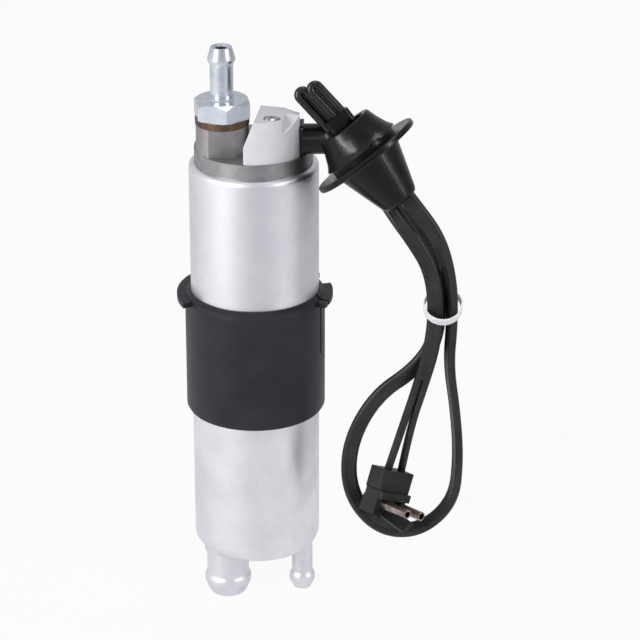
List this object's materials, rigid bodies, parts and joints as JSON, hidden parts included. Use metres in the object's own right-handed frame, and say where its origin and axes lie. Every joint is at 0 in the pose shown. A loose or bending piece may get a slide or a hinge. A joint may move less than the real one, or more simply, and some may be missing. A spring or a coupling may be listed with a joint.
{
  "type": "electric fuel pump",
  "caption": "In-line electric fuel pump in an aluminium can with hose stubs, an outlet barb, a white terminal cover, a rubber mounting sleeve, and a plugged cable through a grommet.",
  "frame": {"origin": "on the pump's axis, at the middle of the rubber mounting sleeve", "axes": "+Z along the pump's axis towards the outlet, -Y towards the terminal cover's screw, +X towards the cable's side"},
  "size_m": [0.0963, 0.0603, 0.1985],
  "materials": {
    "can": "satin",
    "diecast": "matte",
    "zinc_plate": "satin",
    "copper": "satin",
    "white_plastic": "matte",
    "steel": "satin",
    "black_rubber": "satin",
    "sleeve_rubber": "matte",
    "wire_jacket": "satin",
    "nylon": "satin",
    "black_plastic": "matte",
    "contact_metal": "satin",
    "sintered": "matte",
    "ferrite": "matte",
    "enamel_wire": "gloss",
    "hub_plastic": "matte",
    "carbon": "matte",
    "bronze": "satin",
    "seal_rubber": "matte"
  },
  "bodies": {
    "housing": {"casing": "can", "inlet_cover": "diecast", "top_cap": "diecast", "outlet_nozzle": "zinc_plate", "sealing_washer": "copper", "terminal_cover": "white_plastic", "cover_screw": "steel", "mounting_sleeve": "sleeve_rubber", "cable_boot": "black_rubber", "grommet": "black_rubber", "splice_cap_a": "black_plastic", "splice_cap_b": "black_plastic", "wire_a": "wire_jacket", "wire_b": "wire_jacket", "bundle_ring": "nylon", "cable_plug": "black_plastic", "contact_a": "contact_metal", "contact_b": "contact_metal", "top_seal": "seal_rubber", "bottom_seal": "seal_rubber", "port_plate": "steel", "pump_ring": "steel", "bearing_plate": "diecast", "lower_bearing": "bronze", "upper_bearing": "bronze", "flux_ring": "steel", "magnet_a": "ferrite", "magnet_b": "ferrite", "magnet_clip_a": "steel", "magnet_clip_b": "steel", "brush_holder": "black_plastic", "brush_spring_a": "steel", "brush_spring_b": "steel", "insulator_a": "black_plastic", "insulator_b": "black_plastic", "terminal_pin_a": "bronze", "terminal_pin_b": "bronze", "pump_lead_a": "wire_jacket", "pump_lead_b": "wire_jacket", "check_spring": "steel", "relief_spring": "steel"},
    "armature": {"shaft": "steel", "thrust_washer": "steel", "laminations": "steel", "windings": "enamel_wire", "commutator_hub": "hub_plastic", "commutator_segments": "copper", "inner_rotor": "sintered"},
    "outer_rotor_body": {"outer_rotor": "sintered"},
    "brush_a_body": {"brush_a": "carbon"},
    "brush_b_body": {"brush_b": "carbon"},
    "check_valve": {"check_poppet": "bronze"},
    "relief_valve": {"relief_piston": "bronze"}
  },
  "joints": [
    {"name": "armature_spin", "type": "hinge", "parent": "housing", "child": "armature", "pos_m": [0, 0, 0], "axis": [0, 0, 1], "continuous": true},
    {"name": "outer_rotor_spin", "type": "hinge", "parent": "housing", "child": "outer_rotor_body", "pos_m": [0.00047, -0.00088, -0.0555], "axis": [0, 0, 1], "continuous": true},
    {"name": "brush_a_slide", "type": "slide", "parent": "housing", "child": "brush_a_body", "axis": [0, 0, 1], "range_m": [0, 0.002], "stiffness_N_per_m": 200, "springref_m": -0.002, "deforming": ["brush_spring_a"]},
    {"name": "brush_b_slide", "type": "slide", "parent": "housing", "child": "brush_b_body", "axis": [0, 0, 1], "range_m": [0, 0.002], "stiffness_N_per_m": 200, "springref_m": -0.002, "deforming": ["brush_spring_b"]},
    {"name": "check_valve_lift", "type": "slide", "parent": "housing", "child": "check_valve", "axis": [0, 0, 1], "range_m": [0, 0.002], "stiffness_N_per_m": 300, "springref_m": -0.002, "deforming": ["check_spring"]},
    {"name": "relief_valve_drop", "type": "slide", "parent": "housing", "child": "relief_valve", "axis": [0, 0, -1], "range_m": [0, 0.0015], "stiffness_N_per_m": 2000, "springref_m": -0.002, "deforming": ["relief_spring"]}
  ],
  "couplings": [
    {"joint": "outer_rotor_spin", "follows": "armature_spin", "ratio": 0.85714}
  ]
}
